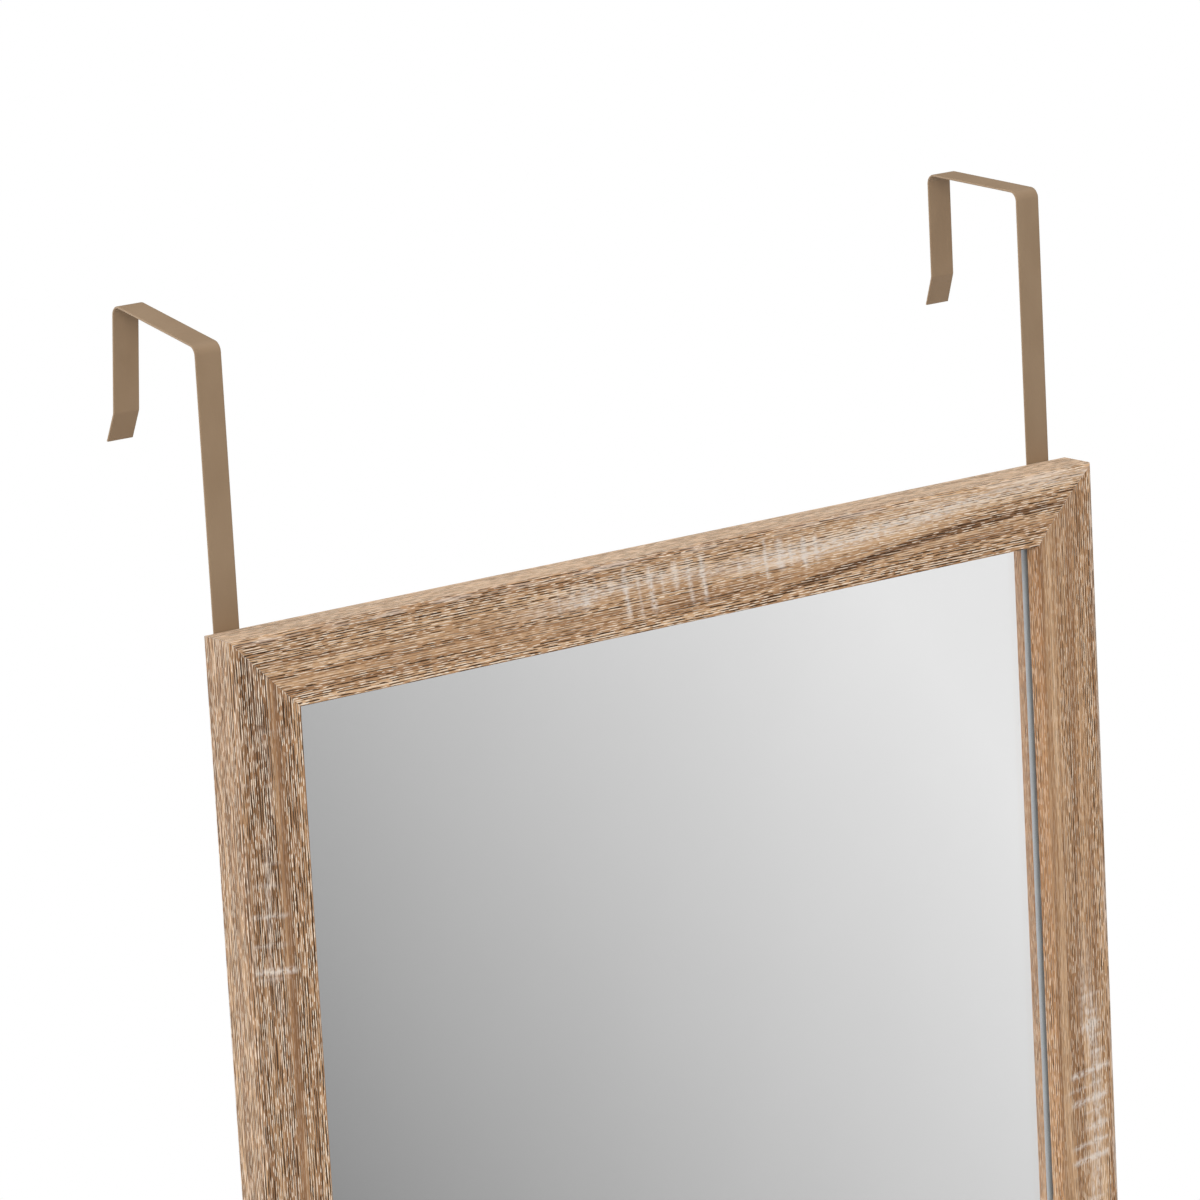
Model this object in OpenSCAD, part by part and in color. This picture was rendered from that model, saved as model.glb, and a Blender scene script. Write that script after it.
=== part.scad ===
// Over the door mirror: a recessed mirror in a mitred oak-effect frame,
// hung from the top of a door by two bent steel straps.
//
// Millimetres. X runs across the mirror, +Y into the door, +Z up.
// The origin is the front edge of the door's top, midway between the hangers:
// the straps lie against the door at Y = 0, and everything else is in front.

/* [Frame] */
// Width of the frame over its outer edges
frame_w = 350; // [250:5:500]
// Height of the frame over its outer edges
frame_h = 1250; // [600:10:1600]
// Width of the moulding's face, from its outer edge to the lip's front edge
rail_w = 25; // [24:0.5:40]
// Depth of the moulding at its outer shoulder
shoulder_d = 14.5; // [13.8:0.1:17]
// Depth of the moulding at the lip's front edge
lip_d = 14.6; // [13.8:0.1:17]
// Radius of the rounded outer shoulder
shoulder_r = 1.6; // [1:0.1:4]
// Radius on the lip's front edge
lip_r = 0.6; // [0.3:0.1:1]
// Depth of the shallow dish across the face
face_dish = 0.7; // [0.3:0.1:1.2]
// How far the foot of the lip reaches past the lip's front edge
lip_slant = 0.7; // [0.2:0.1:1.5]
// Width of the flat land behind, from the outer edge to the rebate
land_w = 19; // [18:0.5:21]
// Depth of the rebate, from the back plane to the seat of the glass
rebate_d = 9.5; // [8.5:0.1:11]

/* [Mirror] */
// Thickness of the glass
glass_t = 3; // [2:0.5:4]
// Thickness of the silver and its paint on the back of the glass
coat_t = 0.1; // [0.1:0.05:0.3]
// Gap between the glass and the rebate, all round
glass_gap = 0.4; // [0.2:0.1:1]
// Thickness of the backing board
board_t = 3; // [2:0.5:3]
// Gap between the backing board and the rebate, all round
board_gap = 0.6; // [0.3:0.1:1.2]

/* [Hangers] */
// Width of the strap
strap_w = 9.6; // [8:0.2:11]
// Thickness of the strap
strap_t = 0.7; // [0.5:0.1:1.5]
// Inside radius of every bend
bend_r = 2.8; // [2:0.1:5]
// Room for the door, between the hook's inner faces
hook_gap = 46.3; // [30:0.1:60]
// Length of the drop behind the door, from the top to the lip's bend
drop_len = 35.3; // [25:0.1:60]
// Length of the turned-out lip
hook_lip = 10.7; // [8:0.1:20]
// Distance from the door's top down to the top of the frame
hang_drop = 91.6; // [60:0.1:150]
// Distance from the frame's outer edge to the left strap
left_inset = 3.9; // [2:0.1:5]
// Distance from the frame's outer edge to the right strap
right_inset = 6.7; // [2:0.1:7]
// Height that the left strap is set to in its slots, from their middle
left_set = -1.5; // [-8:0.1:8]
// Height that the right strap is set to in its slots, from their middle
right_set = 1.5; // [-8:0.1:8]
// Rise of the left hook's top towards its back
left_rise = 10.3; // [0:0.1:12]
// Rise of the right hook's top towards its back
right_rise = 2.1; // [0:0.1:12]
// Lean of the left drop away from the door
left_lean = 6.5; // [-3:0.1:8]
// Lean of the right drop away from the door
right_lean = 0.4; // [-3:0.1:8]
// Turn of the left lip from its drop
left_flare = 21; // [10:1:35]
// Turn of the right lip from its drop
right_flare = 19; // [10:1:35]

/* [Hanger screws] */
// Distance from the frame's top to the upper screw
screw_top = 24; // [20:1:40]
// Distance between a strap's two screws
screw_pitch = 34; // [30:1:60]
// Travel of a strap on its screws, up and down from the slots' middle
slot_travel = 10; // [8:0.5:12]
// Radius of the screw's shank
shank_r = 1.5; // [1.2:0.1:1.7]
// Length of the screw under its head
screw_len = 11; // [8:0.5:12]
// Length of the screw's point
point_len = 2.6; // [1.5:0.1:4]
// Radius of the screw's head
head_r = 3.5; // [3:0.1:4]
// Height of the screw's head
head_h = 1.7; // [1.2:0.1:2.5]
// Gap between a strap and the frame, and between a strap and a screw's head
slide_gap = 0.1; // [0.05:0.05:0.3]
// Gap between the shank and the sides of its slot
slot_gap = 0.3; // [0.2:0.1:0.5]
// Strap left beyond the end of its lower slot
tail_end = 6; // [4:0.5:15]

/* [Small parts] */
// Distance from the frame's outer edges to the outer nail of a corner
nail_first = 5; // [4:0.5:6]
// Distance between a corner's two nails, across each rail
nail_pitch = 7; // [5:0.5:7.5]
// Length of each wing of a corner nail
nail_leg = 5; // [3:0.5:6]
// Height of a corner nail, along the depth of the frame
nail_h = 7; // [5:0.5:9]
// Thickness of a corner nail
nail_t = 0.5; // [0.3:0.1:0.8]
// Depth that a corner nail is driven below the back plane
nail_sink = 0.3; // [0:0.1:1]
// Points that hold the board along each long rail
long_points = 6; // [3:1:10]
// Points that hold the board along each short rail
short_points = 2; // [1:1:4]
// Width of a point
point_w = 6; // [4:0.5:10]
// Thickness of a point
point_t = 0.4; // [0.3:0.1:0.6]
// Length of a point inside the rail
point_in = 7; // [4:0.5:8]
// Length of a point over the board
point_out = 8; // [4:0.5:12]
// Radius of a bumper
bumper_r = 5; // [4:0.5:8]
// Thickness of a bumper
bumper_t = 2.8; // [2:0.1:5]
// Distance from the frame's outer edges to a bumper's centre
bumper_inset = 9.5; // [8.5:0.5:10]
// Gap left round everything that is driven into a rail
driven_gap = 0.05; // [0.02:0.01:0.1]

/* [Hidden] */
$fn = 96;

// A cutter runs this far past the faces that it cuts.
spill = 1;

// Frame
back_y = -strap_t - slide_gap;
frame_top = -hang_drop;
frame_mid = frame_top - frame_h / 2;
frame_bottom = frame_top - frame_h;
foot_w = rail_w + lip_slant;

// The dish is an arc whose chord runs from the shoulder's round to the lip's.
chord_from = [shoulder_r, shoulder_d];
chord_to = [rail_w - lip_r, lip_d];
chord_len = norm(chord_to - chord_from);
chord_tilt = atan2(chord_to.y - chord_from.y, chord_to.x - chord_from.x);
dish_r = (pow(chord_len / 2, 2) + pow(face_dish, 2)) / (2 * face_dish);
dish_rise = dish_r - face_dish;
dish_mid = (chord_from + chord_to) / 2 + dish_rise * [-sin(chord_tilt), cos(chord_tilt)];

// Depths of the mirror's layers in front of the back plane
coat_front = rebate_d - glass_t;
board_front = coat_front - coat_t;
board_back = board_front - board_t;

// Straps
left_x = -frame_w / 2 + left_inset + strap_w / 2;
right_x = frame_w / 2 - right_inset - strap_w / 2;
slot_w = 2 * (shank_r + slot_gap);
tail_len = screw_top + screw_pitch + slot_travel + slot_w / 2 + tail_end;
head_y = slide_gap;
bend_steps = 12;

oak = [0.67, 0.55, 0.44];
steel = [0.72, 0.73, 0.75];
taupe = [0.55, 0.47, 0.39];

// --- Frame ---------------------------------------------------------------

// What a round of the given radius takes off a corner at the origin, whose
// material lies towards +x and -y.
module round_waste(radius) {
    difference() {
        translate([-spill, -radius]) square([radius + spill, radius + spill]);
        translate([radius, -radius]) circle(radius);
    }
}

// The moulding's section: x from the outer edge inwards, y from the back to the front.
module moulding_section() {
    difference() {
        polygon([
            [0, 0],
            [0, shoulder_d],
            chord_from,
            chord_to,
            [rail_w, lip_d],
            [foot_w, rebate_d],
            [land_w, rebate_d],
            [land_w, 0]
        ]);
        translate([0, shoulder_d]) round_waste(shoulder_r);
        translate([rail_w, lip_d]) mirror([1, 0]) round_waste(lip_r);
        translate(dish_mid) circle(dish_r);
    }
}

// The plan of a rail that is mitred at both ends, with its outer edge on y = 0.
module mitred_plan(length) {
    half = length / 2;
    polygon([
        [-half - spill, spill],
        [half + spill, spill],
        [half - foot_w - spill, -foot_w - spill],
        [-half + foot_w + spill, -foot_w - spill]
    ]);
}

// A rail along X, with its outer edge on z = 0 and its back on y = 0.
module plain_rail(length) {
    depth = max(lip_d, shoulder_d) + 2 * spill;
    intersection() {
        rotate([180, 90, 0]) linear_extrude(length, center = true) moulding_section();
        translate([0, spill, 0]) rotate([90, 0, 0]) linear_extrude(depth) mitred_plan(length);
    }
}

// Carries children drawn for the top rail to the side that faces the given way:
// 0 is the top, 90 the right, 180 the bottom and -90 the left.
module on_side(turn) {
    reach = (turn == 0 || turn == 180) ? frame_h / 2 : frame_w / 2;
    translate([0, back_y, frame_mid]) rotate([0, turn, 0]) translate([0, 0, reach]) children();
}

// Carries children drawn for the top right corner to the given corner.
module on_corner(side, level) {
    translate([side * frame_w / 2, back_y, frame_mid + level * frame_h / 2])
        mirror([side < 0 ? 1 : 0, 0, 0])
            mirror([0, 0, level < 0 ? 1 : 0])
                children();
}

module rail(turn) {
    length = (turn == 0 || turn == 180) ? frame_w : frame_h;
    points = (turn == 0 || turn == 180) ? short_points : long_points;
    color(oak)
    difference() {
        on_side(turn) plain_rail(length);
        on_side(turn) board_points(length, points, driven_gap);
        corner_nails(-1, 1, driven_gap);
        corner_nails(1, 1, driven_gap);
        corner_nails(-1, -1, driven_gap);
        corner_nails(1, -1, driven_gap);
        if (turn == -90) screw_places(left_x) screw_hole();
        if (turn == 90) screw_places(right_x) screw_hole();
    }
}

module top_rail() { rail(0); }

module bottom_rail() { rail(180); }

module left_rail() { rail(-90); }

module right_rail() { rail(90); }

// --- Mirror --------------------------------------------------------------

// A sheet in the rebate, from one depth in front of the back plane to another.
module rebate_sheet(from, to, gap) {
    inset = 2 * (land_w + gap);
    translate([0, back_y - (from + to) / 2, frame_mid])
        cube([frame_w - inset, to - from, frame_h - inset], center = true);
}

module mirror_glass() {
    color([0.80, 0.87, 0.85]) rebate_sheet(coat_front, rebate_d, glass_gap);
}

module silver_coat() {
    color([0.75, 0.75, 0.76]) rebate_sheet(board_front, coat_front, glass_gap);
}

module backing_board() {
    color([0.48, 0.36, 0.25]) rebate_sheet(board_back, board_front, board_gap);
}

// --- Hangers -------------------------------------------------------------

// A strap's side view has x towards the door and y up. It is walked from its lower end
// as stations, each a point on the face away from the door with the heading there.
function along(heading) = [cos(heading), sin(heading)];

function doorwards(heading) = [sin(heading), -cos(heading)];

// The stations of a bend that starts at p, without its ends. A turn above 0 is
// towards the door, and one below 0 away from it.
function bend_stations(p, heading, turn) =
    let (
        arm = turn > 0 ? strap_t + bend_r : -bend_r,
        centre = p + arm * doorwards(heading)
    )
    [for (i = [1:bend_steps - 1])
        let (facing = heading - turn * i / bend_steps)
        [centre - arm * doorwards(facing), facing]
    ];

// Where a bend that starts at p comes out.
function bend_end(p, heading, turn) =
    let (arm = turn > 0 ? strap_t + bend_r : -bend_r)
    p + arm * (doorwards(heading) - doorwards(heading - turn));

// The stations of the runs from number i on, with a turn between each and the next.
function strap_stations(runs, turns, p, heading, i = 0) =
    let (
        q = p + runs[i] * along(heading),
        straight = [[p, heading], [q, heading]]
    )
    i == len(turns) ? straight : concat(
        straight,
        bend_stations(q, heading, turns[i]),
        strap_stations(runs, turns, bend_end(q, heading, turns[i]), heading - turns[i], i + 1)
    );

// A strap along the given runs and turns, with its lower end at height 0.
module strap(runs, turns) {
    stations = strap_stations(runs, turns, [-strap_t, 0], 90);
    last = len(stations) - 1;
    outer = [for (s = stations) s[0]];
    inner = [for (i = [last:-1:0]) stations[i][0] + strap_t * doorwards(stations[i][1])];
    rotate([90, 0, 90]) linear_extrude(strap_w, center = true) polygon(concat(outer, inner));
}

// The slot that one screw runs in, through a strap that stands at mid travel.
module strap_slot() {
    length = 2 * slot_travel;
    translate([0, spill, 0]) rotate([90, 0, 0]) linear_extrude(strap_t + 2 * spill) {
        square([slot_w, length], center = true);
        for (end = [-1, 1]) translate([0, end * slot_travel]) circle(slot_w / 2);
    }
}

// A hanger: the stem behind the frame, the top over the door, the drop and its lip.
// Lengths are between the corners of the faces on the door's side.
module hanger(x, set, rise, lean, flare) {
    front_bend = 90 - rise;
    back_bend = 90 + rise - lean;
    front_cut = bend_r * tan(front_bend / 2);
    back_cut = bend_r * tan(back_bend / 2);
    lip_cut = (bend_r + strap_t) * tan(flare / 2);
    stem = hang_drop + tail_len - front_cut;
    top = hook_gap - front_cut - back_cut;
    drop = drop_len - back_cut - lip_cut;
    lip = hook_lip - lip_cut;
    color(taupe)
    translate([x, 0, set])
    difference() {
        translate([0, 0, frame_top - tail_len])
            strap([stem, top, drop, lip], [front_bend, back_bend, -flare]);
        screw_places(0) strap_slot();
    }
}

module left_hanger() { hanger(left_x, left_set, left_rise, left_lean, left_flare); }

module right_hanger() { hanger(right_x, right_set, right_rise, right_lean, right_flare); }

// --- Fasteners and small parts -------------------------------------------

// Carries children to the two screws of the strap at x.
module screw_places(x) {
    for (i = [0, 1]) translate([x, 0, frame_top - screw_top - i * screw_pitch]) children();
}

// The bore that a screw's shank is driven into.
module screw_hole() {
    translate([0, head_y, 0]) rotate([90, 0, 0])
        cylinder(h = screw_len + driven_gap, r = shank_r + driven_gap);
}

// A low domed screw, with its head behind the strap and its point to the front.
module hanger_screw() {
    // The dome is a cap of the sphere that has the head's radius and height.
    dome_r = (pow(head_r, 2) + pow(head_h, 2)) / (2 * head_h);
    cross_w = 0.9;
    cross_l = 4;
    cross_d = head_h * 0.6;
    translate([0, head_y, 0]) rotate([90, 0, 0]) {
        cylinder(h = screw_len - point_len, r = shank_r);
        translate([0, 0, screw_len - point_len]) cylinder(h = point_len, r1 = shank_r, r2 = 0.2);
    }
    translate([0, head_y, 0]) rotate([-90, 0, 0]) difference() {
        intersection() {
            translate([0, 0, head_h - dome_r]) sphere(dome_r);
            cylinder(h = head_h, r = head_r);
        }
        translate([0, 0, head_h - cross_d]) for (turn = [0, 90]) rotate(turn)
            translate([-cross_l / 2, -cross_w / 2, 0]) cube([cross_l, cross_w, head_h]);
    }
}

module left_hanger_screws() { color(steel) screw_places(left_x) hanger_screw(); }

module right_hanger_screws() { color(steel) screw_places(right_x) hanger_screw(); }

// One bent nail, whose wings reach into the two rails, grown by a gap.
module corner_nail(gap) {
    leg = nail_leg + gap;
    wall = nail_t + 2 * gap;
    rotate([90, 0, 0])
        translate([0, 0, nail_sink - gap]) linear_extrude(nail_h + 2 * gap)
            translate([gap, gap]) {
                translate([-leg - gap, -wall]) square([leg + gap, wall]);
                translate([-wall, -leg - gap]) square([wall, leg + gap]);
            }
}

// The two nails of a corner, side by side along its mitre.
module corner_nails(side, level, gap = 0) {
    color(steel) for (i = [0, 1])
        on_corner(side, level)
            translate([-nail_first - i * nail_pitch, 0, -nail_first - i * nail_pitch])
                corner_nail(gap);
}

module nails_top_left() { corner_nails(-1, 1); }

module nails_top_right() { corner_nails(1, 1); }

module nails_bottom_left() { corner_nails(-1, -1); }

module nails_bottom_right() { corner_nails(1, -1); }

// A flat steel point, driven into the rebate's wall and lying on the board, grown by a gap.
module board_point(gap) {
    half = point_w / 2 + gap;
    tip = -land_w + point_in + gap;
    translate([0, gap - board_back + point_t, 0]) rotate([90, 0, 0])
        linear_extrude(point_t + 2 * gap) polygon([
            [-half, -land_w - point_out],
            [half, -land_w - point_out],
            [half, tip - half],
            [0, tip],
            [-half, tip - half]
        ]);
}

// A row of points, evenly spaced along a rail of the given length.
module board_points(length, count, gap = 0) {
    pitch = (length - 2 * land_w) / count;
    for (i = [0:count - 1])
        translate([(i - (count - 1) / 2) * pitch, 0, 0]) board_point(gap);
}

module points_top() { color(steel) on_side(0) board_points(frame_w, short_points); }

module points_bottom() { color(steel) on_side(180) board_points(frame_w, short_points); }

module points_left() { color(steel) on_side(-90) board_points(frame_h, long_points); }

module points_right() { color(steel) on_side(90) board_points(frame_h, long_points); }

// A soft round bumper on the back of a bottom corner.
module bumper(side) {
    taper = 0.6;
    color([0.2, 0.2, 0.2])
    translate([side * (frame_w / 2 - bumper_inset), back_y, frame_bottom + bumper_inset])
        rotate([-90, 0, 0]) cylinder(h = bumper_t, r1 = bumper_r, r2 = bumper_r - taper);
}

module bumper_left() { bumper(-1); }

module bumper_right() { bumper(1); }

top_rail();
bottom_rail();
left_rail();
right_rail();
mirror_glass();
silver_coat();
backing_board();
left_hanger();
right_hanger();
left_hanger_screws();
right_hanger_screws();
nails_top_left();
nails_top_right();
nails_bottom_left();
nails_bottom_right();
points_top();
points_bottom();
points_left();
points_right();
bumper_left();
bumper_right();
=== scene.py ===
import math
import bmesh
import bpy
import numpy as np
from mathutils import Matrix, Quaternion, Vector


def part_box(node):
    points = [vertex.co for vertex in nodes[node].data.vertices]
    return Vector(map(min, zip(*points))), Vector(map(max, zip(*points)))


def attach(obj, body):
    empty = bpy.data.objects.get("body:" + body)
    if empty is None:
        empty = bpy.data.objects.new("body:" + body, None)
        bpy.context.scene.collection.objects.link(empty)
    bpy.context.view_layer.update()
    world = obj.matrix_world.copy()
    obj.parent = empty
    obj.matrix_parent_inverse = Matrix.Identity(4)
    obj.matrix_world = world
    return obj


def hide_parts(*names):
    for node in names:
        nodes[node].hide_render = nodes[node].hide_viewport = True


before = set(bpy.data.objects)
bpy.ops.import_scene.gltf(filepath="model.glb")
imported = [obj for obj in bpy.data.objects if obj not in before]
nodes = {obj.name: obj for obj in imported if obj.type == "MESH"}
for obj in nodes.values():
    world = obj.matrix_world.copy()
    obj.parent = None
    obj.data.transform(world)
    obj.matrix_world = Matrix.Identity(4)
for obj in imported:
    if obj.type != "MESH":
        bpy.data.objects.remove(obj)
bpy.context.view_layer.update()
mm = 0.001


def say(stage):
    print("over the door mirror:", stage)


# --- shader maths ---

class Wire:  # a socket that can be added, multiplied and so on
    def __init__(self, graph, socket):
        self.graph, self.socket = graph, socket

    def __add__(self, other):
        return self.graph.sum("ADD", self, other)

    def __radd__(self, other):
        return self.graph.sum("ADD", other, self)

    def __sub__(self, other):
        return self.graph.sum("SUBTRACT", self, other)

    def __rsub__(self, other):
        return self.graph.sum("SUBTRACT", other, self)

    def __mul__(self, other):
        return self.graph.sum("MULTIPLY", self, other)

    def __truediv__(self, other):
        return self.graph.sum("DIVIDE", self, other)

    def __abs__(self):
        return self.graph.sum("ABSOLUTE", self)

    # 0 below low, 1 above high and an S-curve between; low may be the higher number
    def smooth(self, low, high):
        sockets = {0: self, 1: low, 2: high}
        if low > high:
            sockets = {0: self, 1: high, 2: low, 3: 1.0, 4: 0.0}
        return self.graph.wire("ShaderNodeMapRange", {"interpolation_type": "SMOOTHSTEP"}, sockets)

    def clamp(self, low=0.0, high=1.0):
        return self.graph.wire("ShaderNodeClamp", {}, {0: self, 1: low, 2: high})


class Graph:  # one material's or world's nodes
    def __init__(self, owner):
        owner.use_nodes = True
        self.tree = owner.node_tree
        self.tree.nodes.clear()

    def add(self, kind, settings=None, sockets=None):
        node = self.tree.nodes.new(kind)
        for key, value in (settings or {}).items():
            if key == "stops":
                self.paintRamp(node.color_ramp, value)
            else:
                setattr(node, key, value)
        for key, value in (sockets or {}).items():
            if isinstance(value, Wire):
                self.tree.links.new(value.socket, node.inputs[key])
            else:
                node.inputs[key].default_value = value
        return node

    def wire(self, kind, settings=None, sockets=None, output=0):
        return Wire(self, self.add(kind, settings, sockets).outputs[output])

    def sum(self, operation, *terms):
        return self.wire("ShaderNodeMath", {"operation": operation}, dict(enumerate(terms)))

    def paintRamp(self, ramp, stops):
        while len(ramp.elements) < len(stops):
            ramp.elements.new(0.5)
        for element, (place, colour) in zip(ramp.elements, stops):
            element.position, element.color = place, colour

    def mix(self, factor, first, second):
        return self.wire("ShaderNodeMix", {"data_type": "RGBA"}, {0: factor, 6: first, 7: second}, output=2)

    # noise about 0.5, with a period of one; z may be a plain number, and is then the seed
    def noise(self, x, y, z, detail=0.0, roughness=0.5):
        place = self.wire("ShaderNodeCombineXYZ", {}, {0: x, 1: y, 2: z})
        sockets = {0: place, "Scale": 1.0, "Detail": detail, "Roughness": roughness}
        return self.wire("ShaderNodeTexNoise", {}, sockets)

    # the same noise, with a period of its own for each of three coordinates
    def noiseAt(self, place, periods, detail=0.0, roughness=0.5):
        x, y, z = [part / period for part, period in zip(place, periods)]
        return self.noise(x, y, z, detail, roughness)

    def split(self, vector):
        node = self.add("ShaderNodeSeparateXYZ", {}, {0: vector})
        return [Wire(self, output) for output in node.outputs[:3]]

    # the object's own coordinates, in millimetres
    def place(self):
        node = self.add("ShaderNodeTexCoord")
        return [part * 1000 for part in self.split(Wire(self, node.outputs["Object"]))]

    def bumpFrom(self, height, depth):  # depth in millimetres
        return self.wire("ShaderNodeBump", {}, {"Height": height, "Distance": depth * mm})

    def finish(self, shader, output="ShaderNodeOutputMaterial"):
        self.tree.links.new(shader.socket, self.add(output).inputs[0])


def material(name):
    made = bpy.data.materials.new(name)
    return made, Graph(made)


# a colour as it is seen on a screen, 0 to 255, in linear light
def tone(red, green, blue):
    parts = np.array([red, green, blue]) / 255
    linear = np.where(parts <= 0.04045, parts / 12.92, ((parts + 0.055) / 1.055) ** 2.4)
    return (*[float(part) for part in linear], 1.0)


# --- finishes ---

# One print runs along the moulding, and each rail is cut from its own part of it. Lengths are in mm:
# along the print, and across it from the shoulder inwards.
oakPrint = dict(
    repeat=680.0, railStarts=dict(top=0.0, right=-1420.0, left=392.0, bottom=930.0),
    ramp=[(0.2, tone(116, 83, 58)), (0.4, tone(158, 120, 87)), (0.5, tone(179, 142, 107)),
          (0.6, tone(196, 160, 125)), (0.8, tone(222, 192, 160))],
    pore=tone(58, 40, 28), fleck=tone(238, 220, 199), lime=tone(218, 207, 198), smoke=tone(98, 74, 56),
    # side is the outer sides' paler tone, painted light as if lit from above and the left
    lip=tone(172, 124, 82), side=tone(236, 208, 180),
    bandForce=0.6, streakForce=0.22, hairForce=0.3, darkForce=0.3,
    # periods, along and across
    bandPeriod=(160.0, 3.4), streakPeriod=(110.0, 1.1), hairPeriod=(24.0, 0.5), thickPeriod=(60.0, 3.5),
    driftPeriod=(120.0, 25.0), quiverPeriod=(6.0, 1.5), patchPeriod=(90.0, 3.0), spreadPeriod=(16.0, 1.1),
    speckPeriod=(2.2, 0.75), raggedPeriod=(1.5, 1.2), shoulderHighlightPeriod=(22.0, 3.0),
    # pitch across and length of a dash; the wander's periods and its size
    poreLines=(0.84, 5.0), fleckLines=(0.74, 2.8), longPore=9.0, dashWidth=0.6, lineWander=(35.0, 1.6, 7.0),
    drift=0.9, quiver=0.14, lean=13.0, leanRise=(160.0, 330.0), leanFall=(345.0, 410.0), leanFull=10.0,
    calmFrom=(0.0, -30.0), sideFrom=(-1.2, -3.0), lipFrom=(21.5, 24.0),
    # the dark streak's middle across, half width, and from where to where along the print
    cathedral=(23.0, 1.4, 212.0, 348.0), cathedralFade=(25.0, 15.0),
    sawTilt=0.13, sawMiddle=9.0, sawMargin=4.0, roughness=0.58, specular=0.08, poreDepth=0.12,
)

# Pale washes of the print: (place, strength, middle across, half width, how much lighter the oak is).
printWashes = [
    (0, 0, 9, 3, 0), (100, 0, 9, 3, 0), (122, 0.4, 9.5, 3.5, 0.05), (136, 0.8, 8.5, 4, 0.15),
    (146, 0.6, 6.5, 2.8, 0.15), (160, 0.6, 6.5, 2.6, 0.2), (172, 0.6, 6.5, 3, 0.25), (186, 0.5, 7.5, 3, 0.25),
    (200, 0.65, 8.5, 2.8, 0.3), (216, 0.9, 8, 4, 0.45), (232, 0.9, 8, 3.6, 0.5), (262, 0.95, 5.8, 3.4, 0.65),
    (285, 0.9, 4, 3, 0.7), (305, 0.75, 2.6, 2.4, 0.65), (345, 0.55, 1.2, 2, 0.5), (375, 0, 1, 2, 0),
    (400, 0.25, 6, 2, 0), (440, 0.2, 10, 2, 0), (465, 0.4, 7.5, 1.5, 0), (482, 0.5, 6.8, 1.3, 0),
    (498, 0.3, 6.5, 1.5, 0), (515, 0.4, 9.6, 1.4, 0), (532, 0.1, 10, 1.5, 0), (680, 0, 9, 3, 0),
]
# How lively and how dark the print is across its width: (distance from the shoulder, liveliness, darkness).
# The calm strip is the print before its 0, the streaky one a stretch of each repeat.
printStrips = dict(
    plain=[(0, 0.8, 0), (3, 0.95, 0.02), (5, 1.15, 0), (8, 0.7, 0.03), (11, 0.5, 0), (12.8, 0.9, 0.15),
           (14.2, 0.35, 0), (16.5, 0.55, 0.15), (18.3, 0.8, 0.02), (21, 1.2, 0), (25, 1, 0.02)],
    streaky=[(0, 0.85, 0.3), (2, 1.1, 0.42), (6, 1.35, 0.48), (10, 1.25, 0.46), (12, 0.65, 0.48),
             (13.4, 0.15, 0.55), (15, 0.25, 0.5), (16.2, 1, 0.2), (20, 1.1, 0.2), (25, 1, 0.22)],
    calm=[(0, 0.7, 0.08), (5, 0.6, 0.1), (9, 0.45, 0.05), (13, 0.6, 0.1), (16, 0.5, 0.14), (18.5, 0.3, 0.05),
          (21, 0.25, 0), (23, 0.3, 0), (25, 0.6, 0.15)],
    streakyFrom=(372.0, 392.0), streakyTo=(656.0, 632.0),
)
# Saw marks across the print: (place, half width, from, to, strength).
printSawMarks = [
    [(126, 0.8, 3, 12, 0.35), (132, 1, 3, 10, 0.4), (136.8, 2, 3.5, 13, 0.65), (141, 0.8, 2, 10, 0.45),
     (147, 1, 3, 10, 0.5), (152.8, 1.2, 1, 18, 1), (158, 0.8, 4, 20, 0.5), (163, 1.3, 2, 18, 0.95),
     (167.5, 0.8, 3, 13, 0.5), (173, 1.3, 2, 12, 0.8)],
    [(178.5, 1, 2, 18, 0.75), (184, 1.2, 2, 18, 1), (199, 0.8, 4, 13, 0.35), (204.5, 0.8, 4, 13, 0.4),
     (210, 0.8, 1, 16, 0.8), (216, 1.6, 2, 13, 1), (220.5, 0.9, 3, 12, 0.7), (226, 1.2, 3, 14, 1),
     (231, 1, 3, 12, 0.9), (250, 1.6, 1, 9, 0.35)],
    [(422.6, 0.8, 6, 22, 0.2), (465, 0.7, 4, 12, 0.35), (472, 0.9, 2, 12, 0.45), (482, 1, 0, 14, 0.7),
     (491.4, 0.9, 0, 13, 0.5), (500, 1.2, 0, 16.5, 1), (502.4, 0.8, 2, 13, 0.45)],
]
faceSpan = 25.0  # the width that the tables cover


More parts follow.
